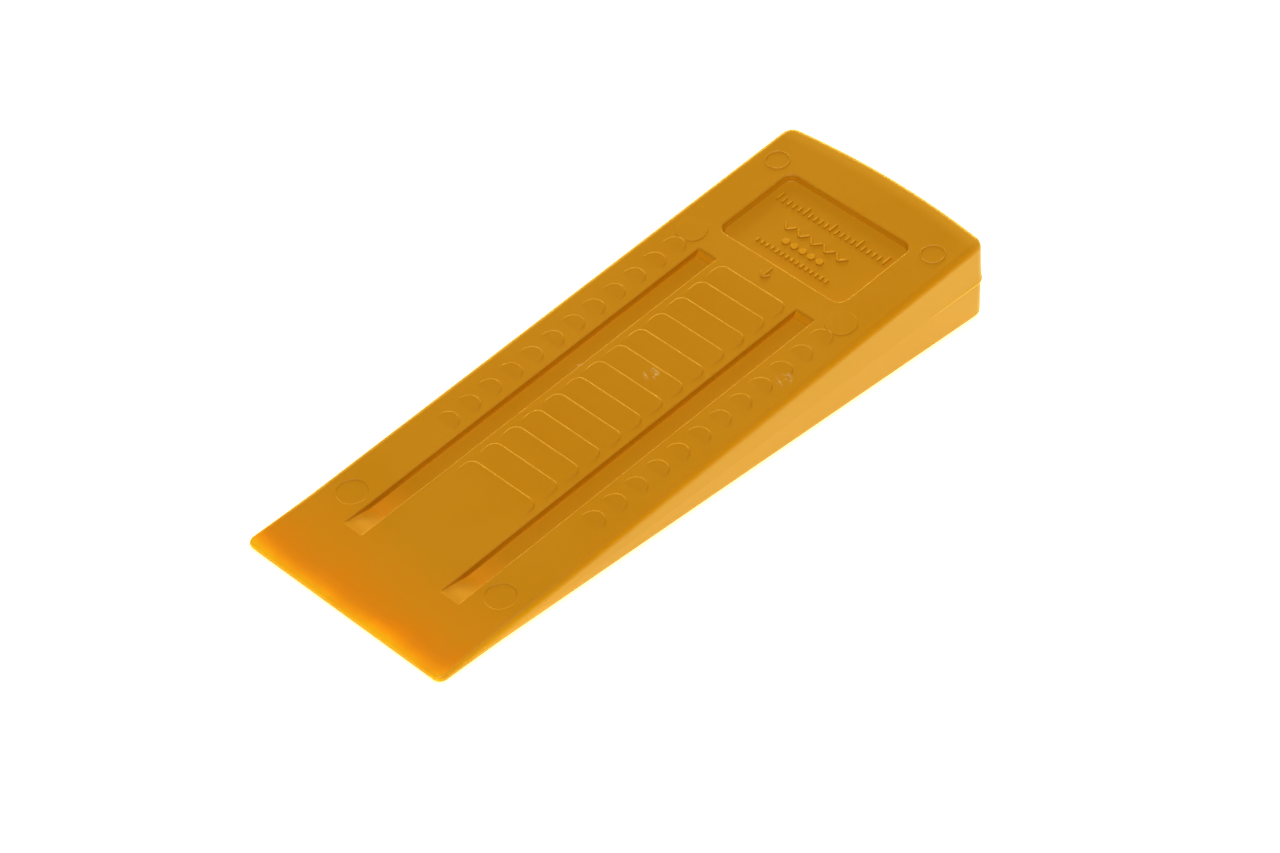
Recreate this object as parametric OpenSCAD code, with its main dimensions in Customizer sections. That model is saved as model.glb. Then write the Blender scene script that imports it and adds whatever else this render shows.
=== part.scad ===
// Felling wedge
//
// A one-piece moulded plastic wedge, driven by hand into the felling cut to
// keep the cut open and to tip the tree. Both faces carry the same pattern: two
// channels, a ladder of low steps between them, a row of scales outside each
// channel, and a sunk panel near the struck end. The steps and the scales
// climb towards the struck end and drop off sharply, so that the wood can't
// push the wedge back out.
//
// The wedge lies on its underside. X runs along it with the thin edge at -X,
// Y across it, Z up.

/* [Body] */
// Overall length, thin edge to the crown of the struck end (mm)
body_length = 200; // [190:1:210]
// Width across the long sides (mm)
body_width = 70.5; // [69:0.5:80]
// Thickness at the thin edge (mm)
tip_thickness = 1.8; // [1.6:0.1:2.6]
// Thickness at the struck end (mm)
butt_thickness = 26; // [24:0.5:32]
// Radius of the crowned striking face, seen from above (mm)
crown_radius = 250; // [200:10:400]
// Rounding of the long edges and of the struck end's rim (mm)
edge_radius = 2; // [1:0.25:2.5]
// Corner radius at the struck end, seen from above (mm)
butt_corner_radius = 4; // [3:0.5:6]
// Corner radius at the thin edge, seen from above (mm)
tip_corner_radius = 2.5; // [1.5:0.5:4]

/* [Channels] */
// Width of each channel at the face (mm)
channel_width = 6.3; // [4:0.1:6.6]
// Depth of each channel (mm)
channel_depth = 2; // [1:0.1:2]
// Distance from the middle of the face to the middle of a channel (mm)
channel_offset = 17.5; // [17.2:0.1:18]
// Distance from the thin edge to the start of the channel (mm)
channel_start = 20; // [20:0.5:24]
// Length over which the channel floor slopes down at the thin end (mm)
channel_ramp = 9.5; // [9:0.5:14]
// Length of the sloping wall at the end of the channel (mm)
channel_end_slope = 1.6; // [0.5:0.1:2.5]

/* [Steps and scales] */
// Number of steps up the middle of the face, the first one set apart
step_count = 13; // [8:1:13]
// Distance from one step to the next (mm)
step_pitch = 7.52; // [7:0.01:7.6]
// Distance from the first step to the second (mm)
first_step_gap = 8.1; // [7.6:0.1:8.5]
// Height of each step and scale (mm)
step_height = 0.45; // [0.2:0.05:0.8]
// Width of the steps (mm)
step_width = 24.8; // [20:0.1:25.2]
// Corner radius of the steps (mm)
step_corner_radius = 3; // [1:0.5:3.5]
// Radius of each scale (mm)
scale_radius = 3.5; // [2.5:0.1:3.7]
// Length over which each scale climbs from the face to its front (mm)
scale_climb = 4.5; // [3:0.5:4.5]
// Distance from the middle of the face to the middle of a row of scales (mm)
scale_offset = 26.3; // [26:0.1:27.5]

/* [Sunk panel] */
// Length of the panel along the wedge (mm)
panel_length = 28; // [20:0.5:30]
// Width of the panel across the wedge (mm)
panel_width = 44; // [36:0.5:45]
// Depth of the panel (mm)
panel_depth = 1.8; // [0.8:0.1:2]
// Distance from the crown of the struck end to the panel (mm)
panel_from_crown = 15.6; // [14:0.1:18]
// Corner radius of the panel (mm)
panel_corner_radius = 3; // [1.5:0.5:5]
// Lean of the panel's walls (mm outwards for each mm of height)
panel_lean = 0.4; // [0.2:0.1:0.6]

/* [Ejector marks] */
// Radius of the four large ejector marks (mm)
large_mark_radius = 4.3; // [3:0.1:4.4]
// Radius of the two small ejector marks near the struck end (mm)
small_mark_radius = 3.4; // [2.5:0.1:3.6]
// Distance from the middle of the face to the large marks (mm)
large_mark_offset = 26.8; // [26.5:0.1:27.5]
// Distance from the middle of the face to the small marks (mm)
small_mark_offset = 27.8; // [27.5:0.1:28.5]
// How far each mark is sunk below or stands above the face (mm)
mark_step = 0.15; // [0.05:0.05:0.3]

/* [Hidden] */
// Smoothness of curves
$fn = 96;

// Half the angle between the two faces
half_angle = atan((butt_thickness - tip_thickness) / 2 / body_length);
half_width = body_width / 2;

// The underside's face stands this high, because the wedge rests on its steps
face_z = step_height;

// Length along the middle plane: the lower rim of the struck end reaches
// furthest, by a little more than the middle plane does
mid_length = (body_length - (butt_thickness / 2 - edge_radius) * sin(half_angle))
           / cos(half_angle);
// The thin edge is a full round that is tangent to both faces
nose_radius = (tip_thickness / 2) * cos(half_angle) / (1 - sin(half_angle));
butt_half = tip_thickness / 2 + mid_length * tan(half_angle);

// Centre of a rounded corner that is tangent to a long side and to the crown
corner_y = half_width - butt_corner_radius;
corner_angle = asin(corner_y / (crown_radius - butt_corner_radius));
corner_x = mid_length - crown_radius
         + (crown_radius - butt_corner_radius) * cos(corner_angle);

// Where things lie along a face, measured from the thin edge
panel_x = mid_length - panel_from_crown - panel_length;
last_step = panel_x - 8.7;
first_step = last_step - (step_count - 2) * step_pitch - first_step_gap;
channel_end = last_step + 0.6;
mid_mark_x = last_step + 4;
end_mark_x = mid_length - 14.5;
tip_mark_x = channel_start + 8.8;
function step_x(i) = i == 0 ? first_step : last_step - (step_count - 1 - i) * step_pitch;
function step_run(i) = i == 1 ? first_step_gap : step_pitch;

// ---------------------------------------------------------------- frames

// The plane halfway between the two faces, with the underside's face level
module middle_plane() {
    translate([-body_length / 2, 0, face_z + tip_thickness / 2 * cos(half_angle)])
        rotate([0, -half_angle, 0]) children();
}

// One face, 0 the upper and 1 the underside: x runs up the face from the thin
// edge and z stands out of it
module on_face(side) {
    middle_plane() mirror([0, 0, side])
        translate([0, 0, tip_thickness / 2]) rotate([0, -half_angle, 0])
            children();
}

// The same pattern on both faces
module on_both_faces() {
    for (side = [0, 1]) on_face(side) children();
}

// ------------------------------------------------------------------ body

// Seen from above: rounded at all four corners, and open to the crown
module outline() {
    r = butt_corner_radius;
    t = tip_corner_radius;
    reach = r + 6;
    polygon([
        [t, half_width], [t, half_width - t], [0, half_width - t],
        [0, -half_width + t], [t, -half_width + t], [t, -half_width],
        [corner_x, -half_width], [corner_x, -corner_y],
        [corner_x + reach * cos(corner_angle), -corner_y - reach * sin(corner_angle)],
        [corner_x + reach * cos(corner_angle), corner_y + reach * sin(corner_angle)],
        [corner_x, corner_y], [corner_x, half_width]
    ]);
    for (s = [-1, 1]) {
        translate([corner_x, s * corner_y]) circle(r);
        translate([t, s * (half_width - t)]) circle(t);
    }
}

// A long bar with the two edges of its top rounded, for one face of the wedge
module face_bar() {
    r = edge_radius;
    translate([-20, 0, 0]) rotate([90, 0, 90]) linear_extrude(body_length + 60) {
        translate([-half_width, -60]) square([body_width, 60 - r]);
        translate([-half_width + r, -60]) square([body_width - 2 * r, 60]);
        for (s = [-1, 1]) translate([s * (half_width - r), -r]) circle(r);
    }
}

// The crowned striking face with its rounded rim, as part of a large disc
module crown() {
    r = edge_radius;
    h = butt_half;
    translate([mid_length - crown_radius, 0, 0]) rotate_extrude($fn = 720) {
        translate([0, -h]) square([crown_radius - r, 2 * h]);
        translate([0, -h + r]) square([crown_radius, 2 * h - 2 * r]);
        for (s = [-1, 1]) translate([crown_radius - r, s * (h - r)]) circle(r);
    }
}

// The rounded thin edge
module nose() {
    x = nose_radius;
    rotate([90, 0, 0]) linear_extrude(body_width + 20, center = true) {
        translate([x, 0]) circle(nose_radius);
        translate([x - nose_radius * sin(half_angle), -60]) square([body_length + 60, 120]);
    }
}

module blank() {
    intersection() {
        middle_plane() translate([0, 0, -60]) linear_extrude(120) outline();
        middle_plane() crown();
        middle_plane() nose();
        on_face(0) face_bar();
        on_face(1) face_bar();
    }
}

// -------------------------------------------------------------- features

// Cutter for one channel: ramp, level floor and sloping end wall
module channel() {
    w = channel_width;
    translate([0, w / 2, 0]) rotate([90, 0, 0]) linear_extrude(w)
        polygon([
            [channel_start - channel_ramp / channel_depth, 1],
            [channel_start + channel_ramp, -channel_depth],
            [channel_end - channel_end_slope, -channel_depth],
            [channel_end + channel_end_slope / channel_depth, 1]
        ]);
}

// One step: a slab that climbs from the face to its full height
module step(run) {
    r = step_corner_radius;
    w = step_width / 2;
    tilt = asin(step_height / run);
    translate([-run, 0, 0]) rotate([0, -tilt, 0]) translate([0, 0, -1.2])
        linear_extrude(1.2) {
            translate([0, -w]) square([run - r, 2 * w]);
            translate([0, -w + r]) square([run, 2 * w - 2 * r]);
            for (s = [-1, 1]) translate([run - r, s * (w - r)]) circle(r);
        }
}

// One scale: an upright disc whose top climbs from the face in the same way
module fish_scale() {
    r = scale_radius;
    intersection() {
        translate([-r, 0, -1]) cylinder(r = r, h = 1 + 2 * step_height);
        translate([-scale_climb, 0, 0]) rotate([0, -atan(step_height / scale_climb), 0])
            translate([-5, -r - 1, -4]) cube([20, 2 * r + 2, 4]);
    }
}

// Cutter for the sunk panel, wider at the face than at its floor
module panel() {
    l = panel_length;
    w = panel_width;
    r = panel_corner_radius;
    h = panel_depth;
    d = panel_lean * h;
    flare = panel_lean;
    translate([panel_x, 0, 0]) {
        for (x = [r, l - r], y = [-w / 2 + r, w / 2 - r])
            translate([x, y, -h]) cylinder(h = h + 1, r1 = r - d, r2 = r + flare);
        translate([0, w / 2 - r, 0]) rotate([90, 0, 0]) linear_extrude(w - 2 * r)
            polygon([[d, -h], [l - d, -h], [l + flare, 1], [-flare, 1]]);
        translate([r, 0, 0]) rotate([90, 0, 90]) linear_extrude(l - 2 * r)
            polygon([[-w / 2 + d, -h], [w / 2 - d, -h], [w / 2 + flare, 1], [-w / 2 - flare, 1]]);
    }
}

module raised() {
    for (i = [0 : step_count - 1]) translate([step_x(i), 0, 0]) step(step_run(i));
    for (i = [1 : step_count - 1], s = [-1, 1])
        translate([step_x(i), s * scale_offset, 0]) fish_scale();
    for (s = [-1, 1]) {
        translate([mid_mark_x, s * large_mark_offset, -1])
            cylinder(r = large_mark_radius, h = 1 + mark_step);
        translate([end_mark_x, s * small_mark_offset, -1])
            cylinder(r = small_mark_radius, h = 1 + mark_step);
    }
}

module sunk() {
    for (s = [-1, 1]) {
        translate([0, s * channel_offset, 0]) channel();
        translate([tip_mark_x, s * large_mark_offset, -mark_step])
            cylinder(r = large_mark_radius, h = 3);
    }
    panel();
}

// The whole wedge, one solid moulding
module wedge_body() {
    color([0.80, 0.53, 0.09])
    difference() {
        union() {
            blank();
            on_both_faces() raised();
        }
        on_both_faces() sunk();
    }
}

wedge_body();
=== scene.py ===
from math import asin, atan, cos, degrees, pi, radians, sin, tan

import bpy
from mathutils import Matrix, Vector


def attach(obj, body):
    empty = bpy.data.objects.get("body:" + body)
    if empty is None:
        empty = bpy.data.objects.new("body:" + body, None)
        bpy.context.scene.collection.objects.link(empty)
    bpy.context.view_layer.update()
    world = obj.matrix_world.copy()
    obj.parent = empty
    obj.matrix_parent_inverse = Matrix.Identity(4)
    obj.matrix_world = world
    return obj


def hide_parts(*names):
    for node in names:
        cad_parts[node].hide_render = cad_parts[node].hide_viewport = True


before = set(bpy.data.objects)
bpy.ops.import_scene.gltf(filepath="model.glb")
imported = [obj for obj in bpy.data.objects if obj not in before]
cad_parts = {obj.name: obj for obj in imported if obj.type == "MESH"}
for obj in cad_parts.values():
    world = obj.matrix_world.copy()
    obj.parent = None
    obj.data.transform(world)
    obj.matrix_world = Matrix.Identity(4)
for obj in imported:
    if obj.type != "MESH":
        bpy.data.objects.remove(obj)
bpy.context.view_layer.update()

scene = bpy.context.scene
mm = 0.001


# ---------------------------------------------------------------- the table
# A white table lit from below and from all round, as for a catalogue: a wide
# floor that glows a little, a large soft light overhead, and a lower one
# behind the struck end that catches every edge turned away from the camera.

class Nodes:
    """Builds one node tree. add() makes a node, gives it its own settings
    first, and then the values or the links of its sockets. A list gives a
    socket one link for each of its items."""

    def __init__(self, tree):
        self.tree = tree

    def add(self, kind, settings=None, sockets=None):
        node = self.tree.nodes.new(kind)
        for name, value in (settings or {}).items():
            if name == "stops":
                ramp = node.color_ramp.elements
                while len(ramp) < len(value):
                    ramp.new(1.0)
                for stop, (position, colour) in zip(ramp, value):
                    stop.position = position
                    stop.color = colour
            else:
                setattr(node, name, value)
        for name, value in (sockets or {}).items():
            for given in value if isinstance(value, list) else [value]:
                given = getattr(given, "socket", given)
                if isinstance(given, bpy.types.NodeSocket):
                    self.tree.links.new(given, node.inputs[name])
                else:
                    node.inputs[name].default_value = given
        return node


def shader(name):
    """A new material with its Principled shader: (material, nodes, shader)."""
    material = bpy.data.materials.new(name)
    material.use_nodes = True
    material.node_tree.nodes.clear()
    nodes = Nodes(material.node_tree)
    principled = nodes.add("ShaderNodeBsdfPrincipled")
    nodes.add("ShaderNodeOutputMaterial", None, {"Surface": principled.outputs["BSDF"]})
    return material, nodes, principled


def mesh_object(name, points, faces):
    """An object in the scene with a new mesh."""
    mesh = bpy.data.meshes.new(name)
    mesh.from_pydata(points, [], faces)
    mesh.validate()
    made = bpy.data.objects.new(name, mesh)
    scene.collection.objects.link(made)
    return made


table_size = 6.0
table_colour = (0.90, 0.90, 0.90, 1)
table_glow = 1.29
table_glow_colour = (1.0, 0.94, 0.52, 1)

reach = table_size / 2
table = mesh_object("table", [(-reach, -reach, 0), (reach, -reach, 0), (reach, reach, 0),
                              (-reach, reach, 0)], [(0, 1, 2, 3)])
table_white, nodes, principled = shader("table_white")
principled.inputs["Base Color"].default_value = table_colour
principled.inputs["Roughness"].default_value = 0.9
principled.inputs["Specular IOR Level"].default_value = 0.1
principled.inputs["Emission Color"].default_value = table_glow_colour
principled.inputs["Emission Strength"].default_value = table_glow
table.data.materials.append(table_white)

room_colour = (1.0, 0.95, 0.62, 1)
room_light = 0.20

studio = bpy.data.worlds.new("studio")
studio.use_nodes = True
background = studio.node_tree.nodes["Background"]
background.inputs["Color"].default_value = room_colour
background.inputs["Strength"].default_value = room_light
scene.world = studio


def softbox(name, place, size, power, tint):
    """A rectangular soft light at place that faces the middle of the table."""
    light = bpy.data.lights.new(name, "AREA")
    light.color = tint
    light.shape = "RECTANGLE"
    light.size, light.size_y = size
    light.energy = power
    lamp = bpy.data.objects.new(name, light)
    lamp.location = place
    lamp.rotation_euler = (-Vector(place)).to_track_quat("-Z", "Y").to_euler()
    scene.collection.objects.link(lamp)


softbox("overhead", place=(-0.32, -0.28, 1.42), size=(1.0, 1.0), power=16.6,
        tint=(1.0, 0.93, 0.66))
softbox("behind", place=(1.2, 1.15, 0.45), size=(1.8, 0.55), power=27,
        tint=(1.0, 0.92, 0.19))

# The camera looks down the wedge from beyond the right of its thin edge
camera_place = Vector((-0.6392, -0.6310, 0.7965))
camera_azimuth = radians(44.447)
camera_elevation = radians(41.575)
camera_roll = radians(0.483)
sensor_width = 36.0
focal_length = 131.5

ahead = Vector((cos(camera_elevation) * cos(camera_azimuth),
                cos(camera_elevation) * sin(camera_azimuth), -sin(camera_elevation)))
right = ahead.cross(Vector((0, 0, 1))).normalized()
down = ahead.cross(right)
rolled_right = right * cos(camera_roll) - down * sin(camera_roll)
rolled_down = right * sin(camera_roll) + down * cos(camera_roll)
turned = Matrix((rolled_right, -rolled_down, -ahead)).transposed().to_4x4()

lens = bpy.data.cameras.new("camera")
lens.sensor_fit = "HORIZONTAL"
lens.sensor_width = sensor_width
lens.lens = focal_length
lens.clip_start = 0.01
camera = bpy.data.objects.new("camera", lens)
camera.matrix_world = Matrix.Translation(camera_place) @ turned
scene.collection.objects.link(camera)
scene.camera = camera
scene.view_settings.view_transform = "Standard"


# ------------------------------------------------------------ the wedge body
# One solid injection moulding in amber plastic. The two mould halves meet on
# the plane midway between the faces, which leaves a thin line of flash round
# the sides, and every side leans in a little away from it so that it lets go.

body_length = 200 * mm
body_width = 70.5 * mm
tip_thickness = 1.8 * mm
butt_thickness = 26 * mm
edge_radius = 2 * mm
crown_radius = 250 * mm
butt_corner = 4 * mm
tip_corner = 2.5 * mm
step_height = 0.45 * mm      # the wedge lies on the crests of its steps

side_draft = tan(radians(0.6))
side_sink = 0.08 * mm        # the long sides shrink in at mid-length
crown_swell = 0.40 * mm      # hammering has spread the struck end a little
side_flash = 0.06 * mm       # how far the flash stands out along the sides
butt_flash = 0.42 * mm       # and where the mould halves gape at the struck end
butt_flash_run = 26 * mm
flash_start = 12 * mm        # there is none nearer the thin edge than this
flash_fade_in = 25 * mm
flash_room = 6 * mm          # it is squeezed where half the side is lower than this
# The flash from below the parting plane to above it: height, share of its reach
flash_section = [(-0.30 * mm, 0), (-0.08 * mm, 0.95), (0.08 * mm, 1), (0.30 * mm, 0.72),
                 (2.0 * mm, 0.4), (4.5 * mm, 0)]

half_angle = atan((butt_thickness - tip_thickness) / 2 / body_length)
slope = tan(half_angle)
mid_length = ((body_length - (butt_thickness / 2 - edge_radius) * sin(half_angle))
              / cos(half_angle))


def half_thickness(x):
    return tip_thickness / 2 + x * slope


def arc(centre, radius, start, stop, count):
    """Points along an arc, each with the direction in which it faces."""
    points = []
    for i in range(count):
        a = radians(start + (stop - start) * i / (count - 1))
        points.append((centre[0] + radius * cos(a), centre[1] + radius * sin(a), cos(a), sin(a)))
    return points


side_steps = 40              # stretches along each long side
tip_steps = 14               # and across the thin edge
tip_points = 10              # points round each corner of the thin edge
butt_points = 12             # round each corner of the struck end
crown_points = 40            # and over the crown


def body_outline():
    """The wedge seen from above, anticlockwise, with the way each point faces."""
    half = body_width / 2 - side_flash
    crown_x = mid_length + crown_swell - side_flash - crown_radius
    corner_y = half - butt_corner
    swing = asin(corner_y / (crown_radius - butt_corner))
    corner_x = crown_x + (crown_radius - butt_corner) * cos(swing)
    turn = degrees(swing)
    run = corner_x - tip_corner
    stations = [tip_corner + run * i / side_steps for i in range(1, side_steps)]

    def side(x):
        return half - side_sink * sin(pi * (x - tip_corner) / run) ** 2

    outline = arc((tip_corner, -half + tip_corner), tip_corner, 180, 270, tip_points)
    outline += [(x, -side(x), 0, -1) for x in stations]
    outline += arc((corner_x, -corner_y), butt_corner, -90, -turn, butt_points)
    outline += arc((crown_x, 0), crown_radius, -turn, turn, crown_points)[1:-1]
    outline += arc((corner_x, corner_y), butt_corner, turn, 90, butt_points)
    outline += [(x, side(x), 0, 1) for x in reversed(stations)]
    outline += arc((tip_corner, half - tip_corner), tip_corner, 90, 180, tip_points)
    edge = half - tip_corner
    outline += [(0, edge - 2 * edge * i / tip_steps, -1, 0) for i in range(1, tip_steps)]
    return outline


def loft(name, rings):
    """A closed solid through rings of points that run anticlockwise, bottom to top."""
    count = len(rings[0])
    faces = [tuple(reversed(range(count)))]
    for level in range(len(rings) - 1):
        low, high = level * count, (level + 1) * count
        for i in range(count):
            j = (i + 1) % count
            faces.append((low + i, low + j, high + j, high + i))
    faces.append(tuple(range((len(rings) - 1) * count, len(rings) * count)))
    return mesh_object(name, [point for ring in rings for point in ring], faces)


def rounding(x):
    """The radius of the long edges, less where the wedge is too thin for it."""
    return min(edge_radius, 0.94 * half_thickness(x))


def body_rings():
    """From the rim of the underside, round the side and its flash, to the upper rim."""
    outline = body_outline()

    def edge_ring(face, turn):
        """A ring round the rounded edge of a face, 1 the upper and -1 the under."""
        ring = []
        for x, y, out_x, out_y in outline:
            radius = rounding(x)
            up = half_thickness(x) - radius + radius * sin(turn)
            inset = radius * (1 - cos(turn)) + side_draft * up
            px = x - out_x * inset
            pz = face * (half_thickness(px) - radius + radius * sin(turn))
            ring.append((px, y - out_y * inset, pz))
        return ring

    def flash_ring(up, share):
        """A ring that stands out by a share of the flash, at a height up."""
        ring = []
        for x, y, out_x, out_y in outline:
            squeeze = min(1, (half_thickness(x) - rounding(x)) / flash_room)
            near_butt = max(0, 1 - (mid_length - x) / butt_flash_run)
            fade_in = min(1, max(0, (x - flash_start) / flash_fade_in))
            proud = share * (side_flash + (butt_flash - side_flash) * near_butt) * fade_in
            ring.append((x + out_x * proud, y + out_y * proud, up * squeeze))
        return ring

    turns = [radians(turn) for turn in (0, 10, 22, 34, 46, 58, 69, 80, 90)]
    return ([edge_ring(-1, turn) for turn in reversed(turns)]
            + [flash_ring(up, share) for up, share in flash_section]
            + [edge_ring(1, turn) for turn in turns])


wedge = loft("felling_wedge", body_rings())


def geometry_tree(name, inputs):
    """An empty geometry tree with named inputs: (tree, nodes, group input)."""
    tree = bpy.data.node_groups.new(name, "GeometryNodeTree")
    tree.interface.new_socket("Geometry", in_out="OUTPUT", socket_type="NodeSocketGeometry")
    tree.interface.new_socket("Geometry", in_out="INPUT", socket_type="NodeSocketGeometry")
    for label, kind in inputs:
        tree.interface.new_socket(label, in_out="INPUT", socket_type="NodeSocket" + kind)
    nodes = Nodes(tree)
    return tree, nodes, nodes.add("NodeGroupInput").outputs


def moulded_row():
    """The tree that moulds a row of one shape into both faces, raised or sunk."""
    tree, nodes, given = geometry_tree("moulded_row", [
        ("Shape", "Object"), ("Count", "Int"), ("Start", "Vector"), ("Spacing", "Vector"),
        ("First shift", "Float"), ("Turn", "Float"), ("Both sides", "Bool"), ("Sunk", "Bool"),
        ("Face height", "Float"), ("Face angle", "Float")])
    shape = nodes.add("GeometryNodeObjectInfo", {"transform_space": "ORIGINAL"},
                      {"Object": given["Shape"]}).outputs["Geometry"]
    first = nodes.add("FunctionNodeCompare", {"data_type": "INT", "operation": "EQUAL"},
                      {"A": nodes.add("GeometryNodeInputIndex").outputs["Index"], "B": 0})
    shift = nodes.add("ShaderNodeCombineXYZ", None, {"X": given["First shift"]})

    def row(side):
        """The row on one side of the middle of the face, 1 or -1."""
        mirrored = (1, side, 1)
        start = nodes.add("ShaderNodeVectorMath", {"operation": "MULTIPLY"},
                          {0: given["Start"], 1: mirrored})
        spacing = nodes.add("ShaderNodeVectorMath", {"operation": "MULTIPLY"},
                            {0: given["Spacing"], 1: mirrored})
        turn = nodes.add("ShaderNodeMath", {"operation": "MULTIPLY"}, {0: given["Turn"], 1: side})
        points = nodes.add("GeometryNodeMeshLine", {"mode": "OFFSET"}, {
            "Count": given["Count"], "Start Location": start.outputs[0],
            "Offset": spacing.outputs[0]})
        points = nodes.add("GeometryNodeSetPosition", None, {
            "Geometry": points.outputs["Mesh"], "Selection": first.outputs["Result"],
            "Offset": shift.outputs["Vector"]})
        turned = nodes.add("ShaderNodeCombineXYZ", None, {"Z": turn.outputs[0]})
        return nodes.add("GeometryNodeInstanceOnPoints", None, {
            "Points": points.outputs["Geometry"], "Instance": shape,
            "Rotation": turned.outputs["Vector"]}).outputs["Instances"]

    near, far = row(1), row(-1)
    pair = nodes.add("GeometryNodeJoinGeometry", None, {"Geometry": [near, far]})
    rows = nodes.add("GeometryNodeSwitch", {"input_type": "GEOMETRY"}, {
        "Switch": given["Both sides"], "False": near, "True": pair.outputs["Geometry"]})
    lift = nodes.add("ShaderNodeCombineXYZ", None, {"Z": given["Face height"]})
    tilt = nodes.add("ShaderNodeCombineXYZ", None, {"Y": given["Face angle"]})
    upper = nodes.add("GeometryNodeTransform", None, {
        "Geometry": rows.outputs["Output"], "Translation": lift.outputs["Vector"],
        "Rotation": tilt.outputs["Vector"]}).outputs["Geometry"]
    under = nodes.add("GeometryNodeTransform", None, {
        "Geometry": upper, "Rotation": (pi, 0, 0)}).outputs["Geometry"]
    raised = nodes.add("GeometryNodeMeshBoolean", {"operation": "UNION", "solver": "MANIFOLD"},
                       {"Mesh 2": [given["Geometry"], upper, under]})
    sunk = nodes.add("GeometryNodeMeshBoolean", {"operation": "DIFFERENCE", "solver": "MANIFOLD"},
                     {"Mesh 1": given["Geometry"], "Mesh 2": [upper, under]})
    done = nodes.add("GeometryNodeSwitch", {"input_type": "GEOMETRY"}, {
        "Switch": given["Sunk"], "False": raised.outputs["Mesh"], "True": sunk.outputs["Mesh"]})
    nodes.add("NodeGroupOutput", None, {"Geometry": done.outputs["Output"]})
    return tree


moulding = moulded_row()
shapes = []                  # cleared away once the wedge is finished


def set_inputs(modifier, values):
    """Sets a modifier's named inputs by their identifiers."""
    for item in modifier.node_group.interface.items_tree:
        if item.in_out == "INPUT" and item.name in values:
            modifier[item.identifier] = values[item.name]


def mould(name, shape, start, count=1, spacing=(0, 0, 0), first_shift=0.0, turn=0.0,
          both_sides=False, sunk=False):
    """Moulds a row of a shape into both faces of the wedge, as one modifier."""
    modifier = wedge.modifiers.new(name, "NODES")
    modifier.node_group = moulding
    set_inputs(modifier, {
        "Shape": shape, "Count": count, "Start": start, "Spacing": spacing,
        "First shift": first_shift, "Turn": turn, "Both sides": both_sides, "Sunk": sunk,
        "Face height": tip_thickness / 2, "Face angle": -half_angle})
    if shape not in shapes:
        shapes.append(shape)


# -------------------------------------------------------- the climbing steps
# A ladder of thirteen low steps up the middle of each face, part of the same
# moulding. Each climbs from the face and drops at its struck side, over a
# rounded crest, so that wood slides up it and can't push the wedge back out.

step_count = 13
step_pitch = 7.52 * mm
first_step_gap = 8.1 * mm
step_width = 24.8 * mm
step_corner = 3 * mm
step_crest = 0.75 * mm
step_tail = 2 * mm           # runs on, buried, below the step before it
step_tail_corner = 0.7 * mm
panel_length = 28 * mm
panel_from_crown = 15.6 * mm
panel_from_step = 8.7 * mm
panel_start = mid_length - panel_from_crown - panel_length
last_step = panel_start - panel_from_step


def box_outline(start, stop, half, start_corner, stop_corner, count=8):
    """A rounded rectangle from above, anticlockwise, with the way each point faces."""
    return (arc((start + start_corner, -half + start_corner), start_corner, 180, 270, count)
            + arc((stop - stop_corner, -half + stop_corner), stop_corner, 270, 360, count)
            + arc((stop - stop_corner, half - stop_corner), stop_corner, 0, 90, count)
            + arc((start + start_corner, half - start_corner), start_corner, 90, 180, count))


def pad(name, outline, top, crest, steps=7, root=1 * mm):
    """A raised shape: walls rise from inside the plastic and turn over a rounded
    crest of radius crest onto the top, whose height is top(x)."""
    rings = [[(x, y, -root) for x, y, _, _ in outline]]
    for i in range(steps + 1):
        a = pi / 2 * i / steps
        inset, drop = crest * (1 - cos(a)), crest * (1 - sin(a))
        ring = []
        for x, y, out_x, out_y in outline:
            px = x - out_x * inset
            ring.append((px, y - out_y * inset, top(px) - drop))
        rings.append(ring)
    return loft(name, rings)


def climb(run):
    """A top that leaves the face at run before the drop and reaches full height there."""
    return lambda x: step_height * (x + run) / run


step = pad("step", box_outline(-step_pitch - step_tail, 0, step_width / 2, step_tail_corner,
                               step_corner), climb(step_pitch), step_crest)
mould("steps", step, (last_step - (step_count - 1) * step_pitch, 0, 0), count=step_count,
      spacing=(step_pitch, 0, 0), first_shift=step_pitch - first_step_gap)


# ---------------------------------------------------------------- the scales
# A row of round scales outside each channel, one beside every step but the
# first. Each is an upright disc whose top climbs towards the struck end and
# drops off over a rounded crest, in the same moulding.

scale_radius = 3.5 * mm
scale_offset = 26.3 * mm
scale_crest = 0.55 * mm
scale_run = 4.5 * mm


def circle(centre_x, radius, count):
    """A whole circle round a point on X, with the way each point faces."""
    return arc((centre_x, 0), radius, -180, 180 - 360 / count, count)


scale = pad("scale", circle(-scale_radius, scale_radius, 48), climb(scale_run), scale_crest)
mould("scales", scale, (last_step - (step_count - 2) * step_pitch, scale_offset, 0),
      count=step_count - 1, spacing=(step_pitch, 0, 0), both_sides=True)


# ---------------------------------------------------- the ejector-pin marks
# Round witness marks of the pins that push the wedge out of the mould. Pins
# that stood proud left shallow dishes near the thin edge, low ones left flat
# discs at mid-length, and worn ones near the struck end let in a ring of flash.

mark_step = 0.15 * mm
mark_crest = 0.12 * mm
large_mark = 4.3 * mm
large_mark_offset = 26.8 * mm
mid_mark = last_step + 4 * mm
mark_points = 56

disc = pad("disc", circle(0, large_mark, mark_points), lambda x: mark_step, mark_crest, 3)
mould("middle_marks", disc, (mid_mark, large_mark_offset, 0), both_sides=True)

pin_ring = 3.25 * mm
pin_ring_offset = 27.8 * mm
pin_ring_points = 64
end_mark = mid_length - 14.5 * mm
fin_height = 0.22 * mm
fin_root = 0.6 * mm
# Half of the fin's section: outwards from its ridge, up from the face
half_fin = [(0, fin_height), (0.112 * mm, 0.8 * fin_height), (0.256 * mm, 0),
            (0.256 * mm, -fin_root)]


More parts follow.
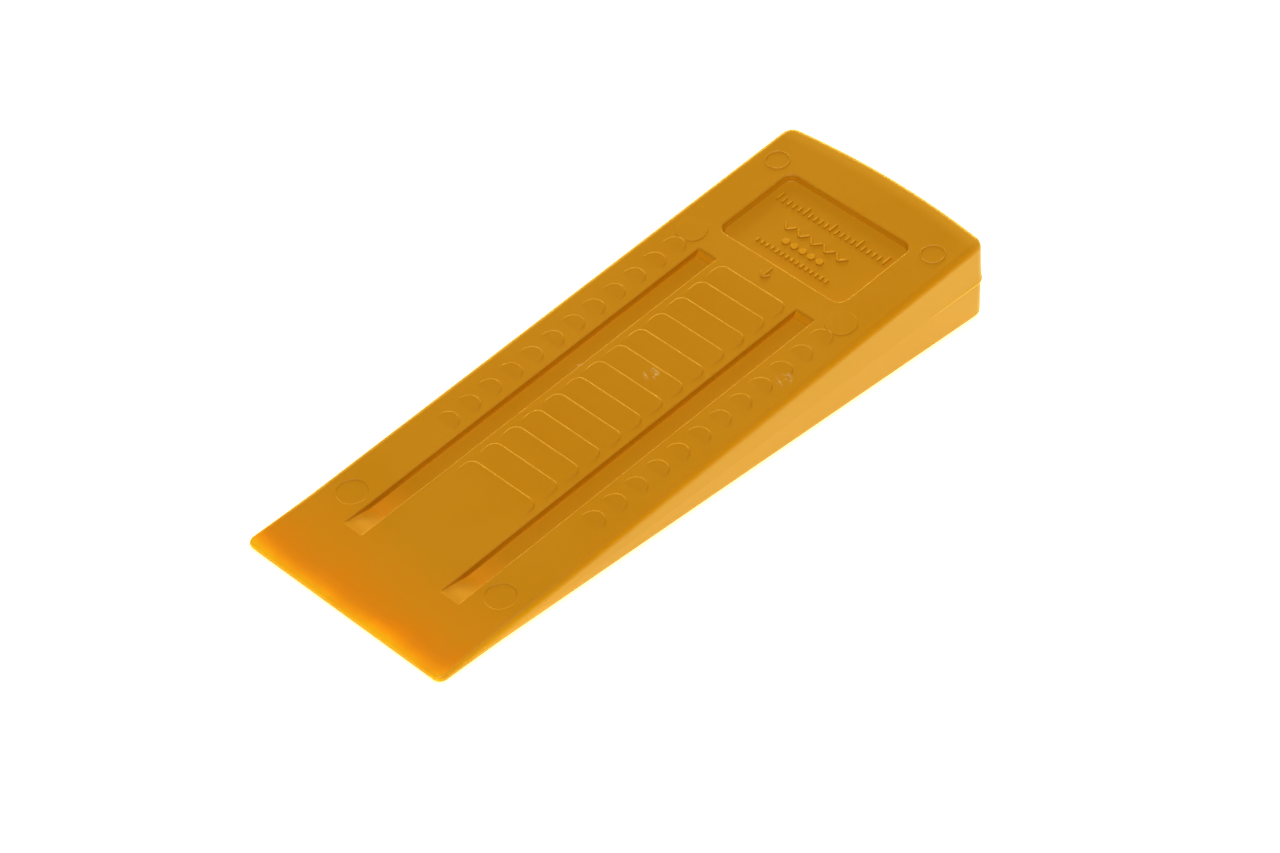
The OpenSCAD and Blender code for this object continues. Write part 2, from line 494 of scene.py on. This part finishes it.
def fin(name, radius):
    """The thin fin of plastic that creeps up round a worn pin."""
    section = [(-out, up) for out, up in reversed(half_fin[1:])] + half_fin
    points = [(x, y, up) for out, up in section
              for x, y, _, _ in circle(0, radius + out, pin_ring_points)]
    faces = []
    for level in range(len(section)):
        low = level * pin_ring_points
        high = (level + 1) % len(section) * pin_ring_points
        for i in range(pin_ring_points):
            j = (i + 1) % pin_ring_points
            faces.append((low + j, low + i, high + i, high + j))
    return mesh_object(name, points, faces)


mould("end_marks", fin("pin_fin", pin_ring), (end_mark, pin_ring_offset, 0), both_sides=True)

dish_radius = 4.15 * mm
dish_foot = 0.05 * mm
dish_lip = 0.3 * mm
dish_lean = 0.6
tip_mark = 28.8 * mm
cutter_top = 1.2 * mm        # every cutter stands this far above the face
lip_reach = radians(80)      # how far round a lip is rounded


def wall(depth, foot, lip, lean):
    """How the wall of a recess rises from its floor, round a foot fillet and a
    rounded lip, to above the face: (outwards, up) from the sharp edge."""
    tilt = atan(lean)
    turn = pi / 2 - tilt
    foot_start = -lean * depth - foot * tan(turn / 2)
    rise = []
    for i in range(6):
        a = turn * i / 5
        rise.append((foot_start + foot * sin(a), -depth + foot - foot * cos(a)))
    lip_centre = lip * tan(turn / 2)
    for i in range(8):
        a = tilt + (lip_reach - tilt) * i / 7
        rise.append((lip_centre - lip * cos(a), -lip + lip * sin(a)))
    out, up = rise[-1]
    over = 0.02 * mm
    clear = out + (over - up) * tan(lip_reach)
    return rise + [(clear, over), (clear, cutter_top)]


dish = loft("dish", [[(x, y, up) for x, y, _, _ in circle(0, dish_radius + out, mark_points)]
                     for out, up in wall(mark_step, dish_foot, dish_lip, dish_lean)])
mould("tip_marks", dish, (tip_mark, large_mark_offset, 0), both_sides=True, sunk=True)


# -------------------------------------------------------------- the channels
# Two channels beside the steps, for saw chips to clear. They are moulded in
# with rounded lips, run out up a plain ramp towards the thin edge, and stop
# at a short sloping wall beside the last step.

channel_width = 6.3 * mm
channel_depth = 2 * mm
channel_offset = 17.5 * mm
channel_start = 20 * mm
channel_ramp = 9.5 * mm
channel_end = last_step + 0.6 * mm
channel_end_slope = 1.6 * mm
channel_foot = 0.5 * mm
channel_lip = 0.45 * mm
channel_lean = 0.12
channel_corner = 0.35 * mm
end_lip_share = 0.35         # the lip at the struck end is this much of the others

channel_rings = []
for out, up in wall(channel_depth, channel_foot, channel_lip, channel_lean):
    deep = -up / channel_depth
    start = channel_start + channel_ramp * deep
    stop = channel_end - channel_end_slope * deep + max(0, out) * end_lip_share
    outline = box_outline(start, stop, channel_width / 2 + out, channel_corner,
                          channel_corner, 5)
    channel_rings.append([(x, y, up) for x, y, _, _ in outline])
mould("channels", loft("channel", channel_rings), (0, channel_offset, 0), both_sides=True,
      sunk=True)


# ----------------------------------------------------------------- the panel
# A shallow sunk panel near the struck end of each face, the place for a
# maker's plate. It is moulded in, with leaning walls and rounded lips.

panel_width = 44 * mm
panel_depth = 1.8 * mm
panel_corner = 3 * mm
panel_foot = 0.6 * mm
panel_lip = 0.6 * mm
panel_lean = 0.24

panel_rings = []
for out, up in wall(panel_depth, panel_foot, panel_lip, panel_lean):
    outline = box_outline(-out, panel_length + out, panel_width / 2 + out,
                          panel_corner + out, panel_corner + out)
    panel_rings.append([(x, y, up) for x, y, _, _ in outline])
mould("panels", loft("panel", panel_rings), (panel_start, 0, 0), sunk=True)


# ----------------------------------------------------------- the raised signs
# Plain signs moulded on the panel's floor: short bars, round pips, a row of
# arrowheads that point the way the wedge is driven, and a ruled scale. One
# small arrow stands on the face itself, just before the panel.

sign_height = 0.42 * mm
sign_width = 0.75 * mm
sign_root = 0.4 * mm
shaft_height = 0.8 * sign_height
pip_radius = 1.1 * mm
pip_crest = 0.25 * mm
arrow_offset = 0.6 * mm
arm_angle = radians(42)
floor_level = -panel_depth


def bar(name, length, height=sign_height):
    """A short bar along the wedge, with a soft top and ends that are all but round."""
    end_corner = sign_width / 2.01
    outline = box_outline(-length / 2, length / 2, sign_width / 2, end_corner, end_corner, 4)
    return pad(name, outline, lambda x: height, 0.45 * sign_width, 4, sign_root)


def across(name, shape, at, count=1, pitch=0.0, level=floor_level, turn=0.0, middle=0.0):
    """A row of signs across the face, at a distance from the thin edge."""
    mould(name, shape, (at, middle - pitch * (count - 1) / 2, level), count=count,
          spacing=(0, pitch, 0), turn=turn)


def arrowheads(name, at, arm, count=1, pitch=0.0, level=floor_level, middle=0.0):
    """A row of arrowheads that point to the thin edge, each of two slanting bars."""
    shape = bar(name, arm)
    for side, label in ((1, "_left"), (-1, "_right")):
        across(name + label, shape, at + arm / 2 * cos(arm_angle), count, pitch, level,
               side * arm_angle, middle + side * arm / 2 * sin(arm_angle))


pip = pad("pip", circle(0, pip_radius, 24), lambda x: sign_height, pip_crest, 4, sign_root)

across("rule", bar("tick", 2.2 * mm), at=176.4 * mm, count=21, pitch=1.9 * mm)
across("rule_fives", bar("long_tick", 3.4 * mm), at=177.0 * mm, count=5, pitch=9.5 * mm)
arrowheads("heads", at=168.6 * mm, arm=3.0 * mm, count=5, pitch=4.6 * mm)
across("pips", pip, at=165.3 * mm, count=5, pitch=3.0 * mm)
across("bars", bar("short_bar", 1.7 * mm), at=161.2 * mm, count=15, pitch=1.75 * mm)
across("arrow", bar("shaft", 4.2 * mm, shaft_height), at=152.6 * mm, level=0.0,
       middle=arrow_offset)
arrowheads("arrow_head", at=150.3 * mm, arm=2.3 * mm, level=0.0, middle=arrow_offset)


# ------------------------------------------------------------- amber plastic
# Self-coloured polyolefin, satin from the mould and slightly see-through, with flow
# marks, fine grain and a few pale scuffs. Light and shade are painted into its colour:
# a painted glow where the wall is thin, at the thin edge and under the ends of the
# channels, painted light on the sides, walls, ramps and sign tops, painted shading
# along the rims, and painted highlights at the crown and on the flash.

class Value:
    """A shader socket that can be used in ordinary arithmetic."""

    def __init__(self, nodes, socket):
        self.nodes, self.socket = nodes, socket

    def math(self, operation, *others):
        sockets = {0: self.socket}
        for index, other in enumerate(others, 1):
            sockets[index] = other
        return Value(self.nodes, self.nodes.add(
            "ShaderNodeMath", {"operation": operation}, sockets).outputs[0])

    def __add__(self, other):
        return self.math("ADD", other)

    def __radd__(self, other):
        return self.math("ADD", other)

    def __sub__(self, other):
        return self.math("SUBTRACT", other)

    def __rsub__(self, other):
        return self.math("MULTIPLY", -1.0).math("ADD", other)

    def __mul__(self, other):
        return self.math("MULTIPLY", other)

    def __rmul__(self, other):
        return self.math("MULTIPLY", other)

    def __truediv__(self, other):
        return self.math("DIVIDE", other)

    def __abs__(self):
        return self.math("ABSOLUTE")

    def fade(self, low, high):
        """0 below low, 1 above high, smooth between."""
        node = self.nodes.add("ShaderNodeMapRange", {"interpolation_type": "SMOOTHSTEP"}, {
            "Value": self.socket, "From Min": low, "From Max": high})
        return Value(self.nodes, node.outputs[0])


plastic, nodes, principled = shader("amber_plastic")
point = nodes.add("ShaderNodeTexCoord").outputs["Object"]
parts = nodes.add("ShaderNodeSeparateXYZ", None, {"Vector": point})
at_x, at_y, at_z = (Value(nodes, parts.outputs[axis]) for axis in "XYZ")


def noise(fineness, detail=2.0, roughness=0.5, stretch=None):
    """A noise from 0 to 1 through the plastic, which may be stretched."""
    vector = point
    if stretch:
        vector = nodes.add("ShaderNodeVectorMath", {"operation": "MULTIPLY"},
                           {0: point, 1: stretch}).outputs[0]
    node = nodes.add("ShaderNodeTexNoise", None, {
        "Vector": vector, "Scale": fineness, "Detail": detail, "Roughness": roughness})
    return Value(nodes, node.outputs["Fac"])


def mix(amount, first, second):
    """The first colour with an amount of the second over it."""
    node = nodes.add("ShaderNodeMix", {"data_type": "RGBA"}, {0: amount, 6: first, 7: second})
    return node.outputs[2]


# Distances: along the middle plane from the thin edge, up or down from that
# plane, below the face, and in from the long sides, the crown and either
base_z = step_height + tip_thickness / 2 * cos(half_angle)
along = (at_x + body_length / 2) * cos(half_angle) + (at_z - base_z) * sin(half_angle)
from_middle = abs((at_z - base_z) * cos(half_angle)
                  - (at_x + body_length / 2) * sin(half_angle))
below = along * slope + tip_thickness / 2 - from_middle
from_side = body_width / 2 - abs(at_y)
from_centre = along - (mid_length + crown_swell - crown_radius)
from_crown = crown_radius - (from_centre * from_centre + at_y * at_y).math("SQRT")
from_rim = from_side.math("MINIMUM", from_crown)

cloud = noise(38, 3.0).fade(0.35, 0.68)
flow = noise(60, 4.0, 0.6, (0.25, 1.0, 1.0)).fade(0.35, 0.7)
grain = noise(2600, 2.0, 0.6)
ripple = noise(120, 2.0, 0.5, (0.3, 1.0, 1.0))

# Along the wedge: a painted glow for the light that shines through the thin edge, fading
# through a deep orange, and from 28 mm on a plain amber with paler, warmer clouds
amber = (0.555, 0.236, 0.0035, 1)
pale_amber = (0.58, 0.262, 0.007, 1)
warm_amber = (0.60, 0.235, 0.004, 1)
painted_glow_length = 40 * mm
cloud_shift = (cloud - 0.5) * 1.6 * mm
corner_shift = from_side.fade(0.0, 7 * mm) * 0.9 * mm - 0.9 * mm
painted_glow = nodes.add("ShaderNodeValToRGB", {"stops": [
    (0.00, (1.00, 0.53, 0.004, 1)), (0.05, (1.00, 0.355, 0.0, 1)),
    (0.11, (0.84, 0.255, 0.0, 1)), (0.165, (0.745, 0.226, 0.0, 1)),
    (0.25, (0.68, 0.236, 0.001, 1)), (0.38, (0.637, 0.242, 0.003, 1)),
    (0.70, amber)]},
    {"Fac": (along + cloud_shift + corner_shift) / painted_glow_length})
colour = mix(cloud * 0.22, painted_glow.outputs["Color"], pale_amber)
colour = mix(flow * 0.15, colour, warm_amber)

# Painted light on the sides, which take more of the light from the table
painted_side_light = (0.565, 0.284, 0.003, 1)
side_face = 1 - from_rim.fade(0.1 * mm, 1.2 * mm)
colour = mix(side_face * 0.8, colour, painted_side_light)

# Painted glow for the light through the thin web between the upper and the under
# channel, where their floors come near each other, and through the thin part of the sides
painted_web_glow = (0.80, 0.30, 0.012, 1)
painted_side_glow = (0.78, 0.36, 0.004, 1)
painted_web_glow_mask = ((1 - from_middle.fade(0.7 * mm, 1.45 * mm)) * below.fade(0.7 * mm, 1.5 * mm)
            * from_side.fade(2 * mm, 4 * mm))
painted_side_glow_mask = ((1 - from_side.fade(0.2 * mm, 2.2 * mm))
             * (1 - from_middle.fade(1.0 * mm, 6.0 * mm)) * (1 - along.fade(15 * mm, 60 * mm)))
colour = mix(painted_web_glow_mask * 0.62, colour, painted_web_glow)
colour = mix(painted_side_glow_mask * 0.6, colour, painted_side_glow)

# Painted light on the walls of the channels and of the panel, the tops of the signs,
# and the channels' ramps, standing in for light that comes through the plastic from the face
# beside
painted_wall_light = (0.76, 0.315, 0.002, 1)
painted_sign_light = (0.70, 0.32, 0.004, 1)
painted_ramp_light = (0.70, 0.305, 0.020, 1)
inside = from_side.fade(3 * mm, 5 * mm)
in_panel = along.fade(151 * mm, 153 * mm)
above_floor = 1 - (below + in_panel * 0.6 * mm).fade(1.70 * mm, 1.96 * mm)
painted_wall_light_mask = (below.fade(0.3 * mm, 0.9 * mm) * inside * above_floor
            * along.fade(30 * mm, 45 * mm) * (in_panel * 0.3 + 0.65))
colour = mix(painted_wall_light_mask, colour, painted_wall_light)
from_sign_top = abs(below - (panel_depth - sign_height))
painted_sign_light_mask = in_panel * inside * (1 - from_sign_top.fade(0.04 * mm, 0.14 * mm))
colour = mix(painted_sign_light_mask * 0.7, colour, painted_sign_light)
painted_ramp_light_mask = below.fade(0.15 * mm, 0.8 * mm) * (1 - along.fade(24 * mm, 29 * mm)) * inside
colour = mix(painted_ramp_light_mask * 0.9, colour, painted_ramp_light)

# Painted shading along the rims of both faces, a painted highlight that brightens them
# towards the crown, and a painted highlight on the lit edge of the flash at the struck end
painted_rim_shading = (0.60, 0.25, 0.0, 1)
painted_crown_highlight = (0.676, 0.316, 0.020, 1)
painted_flash_highlight = (0.98, 0.60, 0.05, 1)
near_face = 1 - below.fade(0.9 * mm, 2.2 * mm)
painted_rim_shading_mask = (1 - from_rim.fade(0.4 * mm, 4.0 * mm)) * near_face * along.fade(20 * mm, 60 * mm)
painted_crown_highlight_mask = (1 - from_crown.fade(1.0 * mm, 6.5 * mm)) * near_face
painted_flash_highlight_mask = (side_face * (1 - from_middle.fade(0.10 * mm, 0.26 * mm))
             * along.fade(170 * mm, 194 * mm))
colour = mix(painted_rim_shading_mask * 0.85, colour, painted_rim_shading)
colour = mix(painted_crown_highlight_mask * 0.95, colour, painted_crown_highlight)
colour = mix(painted_flash_highlight_mask * 0.85, colour, painted_flash_highlight)

# Small pale scuffs where the upper face has been knocked: along, across, spread
scuff_white = (0.78, 0.60, 0.33, 1)
scuff_spots = [(106.6 * mm, -2.1 * mm, 2.6 * mm), (97.0 * mm, 15.5 * mm, 2.2 * mm),
               (127.2 * mm, -29.2 * mm, 2.8 * mm)]


def scuff(spot_x, spot_y, spread):
    """1 at a spot on the face, 0 beyond its spread."""
    off_x, off_y = along - spot_x, at_y - spot_y
    return 1 - (off_x * off_x + off_y * off_y).math("SQRT").fade(0.3 * spread, spread)


scratch = noise(900, 4.0, 0.75, (1.0, 0.45, 1.0)).fade(0.50, 0.60)
scuffs = sum(scuff(*spot) for spot in scuff_spots) * scratch * at_z.fade(2 * mm, 4 * mm)
colour = mix(scuffs * 0.75, colour, scuff_white)

# A satin surface with the faint ripple and grain that the mould leaves
bump = nodes.add("ShaderNodeBump", None, {
    "Strength": 0.10, "Distance": 0.08 * mm, "Height": grain * 0.5 + ripple * 0.3})
roughness = 0.30 + cloud * 0.05 + flow * 0.04 + grain * 0.03

nodes.tree.links.new(colour, principled.inputs["Base Color"])
nodes.tree.links.new(roughness.socket, principled.inputs["Roughness"])
nodes.tree.links.new(bump.outputs["Normal"], principled.inputs["Normal"])
principled.inputs["IOR"].default_value = 1.5
principled.inputs["Specular IOR Level"].default_value = 0.22
principled.inputs["Subsurface Weight"].default_value = 0.15
principled.inputs["Subsurface Radius"].default_value = (1.0, 0.45, 0.08)
principled.inputs["Subsurface Scale"].default_value = 1 * mm


def finished_tree():
    """The tree that lays the moulding down on its underside and gives it its plastic."""
    tree, nodes, given = geometry_tree("finished", [
        ("Plastic", "Material"), ("Rest height", "Float"), ("Half length", "Float"),
        ("Tilt", "Float"), ("Sharp angle", "Float")])
    back = nodes.add("ShaderNodeMath", {"operation": "MULTIPLY"},
                     {0: given["Half length"], 1: -1.0})
    shift = nodes.add("ShaderNodeCombineXYZ", None,
                      {"X": back.outputs[0], "Z": given["Rest height"]})
    tilt = nodes.add("ShaderNodeCombineXYZ", None, {"Y": given["Tilt"]})
    laid = nodes.add("GeometryNodeTransform", None, {
        "Geometry": given["Geometry"], "Translation": shift.outputs["Vector"],
        "Rotation": tilt.outputs["Vector"]}).outputs["Geometry"]
    smooth = nodes.add("GeometryNodeSetShadeSmooth", {"domain": "FACE"},
                       {"Geometry": laid, "Shade Smooth": True}).outputs["Geometry"]
    bend = nodes.add("GeometryNodeInputMeshEdgeAngle").outputs["Unsigned Angle"]
    hard = nodes.add("FunctionNodeCompare", {"data_type": "FLOAT", "operation": "GREATER_THAN"},
                     {"A": bend, "B": given["Sharp angle"]})
    edged = nodes.add("GeometryNodeSetShadeSmooth", {"domain": "EDGE"}, {
        "Geometry": smooth, "Selection": hard.outputs["Result"],
        "Shade Smooth": False}).outputs["Geometry"]
    whole = nodes.add("GeometryNodeRealizeInstances", None, {"Geometry": edged})
    done = nodes.add("GeometryNodeSetMaterial", None, {
        "Geometry": whole.outputs["Geometry"], "Material": given["Plastic"]})
    nodes.add("NodeGroupOutput", None, {"Geometry": done.outputs["Geometry"]})
    return tree


sharp_angle = radians(38)    # edges that bend more than this stay crisp

laying = wedge.modifiers.new("finished", "NODES")
laying.node_group = finished_tree()
set_inputs(laying, {"Plastic": plastic, "Rest height": base_z, "Half length": body_length / 2,
                    "Tilt": -half_angle, "Sharp angle": sharp_angle})
weighting = wedge.modifiers.new("weighting", "WEIGHTED_NORMAL")
weighting.keep_sharp = True
weighting.weight = 50

depsgraph = bpy.context.evaluated_depsgraph_get()
solid = bpy.data.meshes.new_from_object(wedge.evaluated_get(depsgraph), depsgraph=depsgraph)
wedge.modifiers.clear()
wedge.data = solid
for shape in shapes:
    bpy.data.objects.remove(shape)

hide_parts("wedge_body")
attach(wedge, "root")
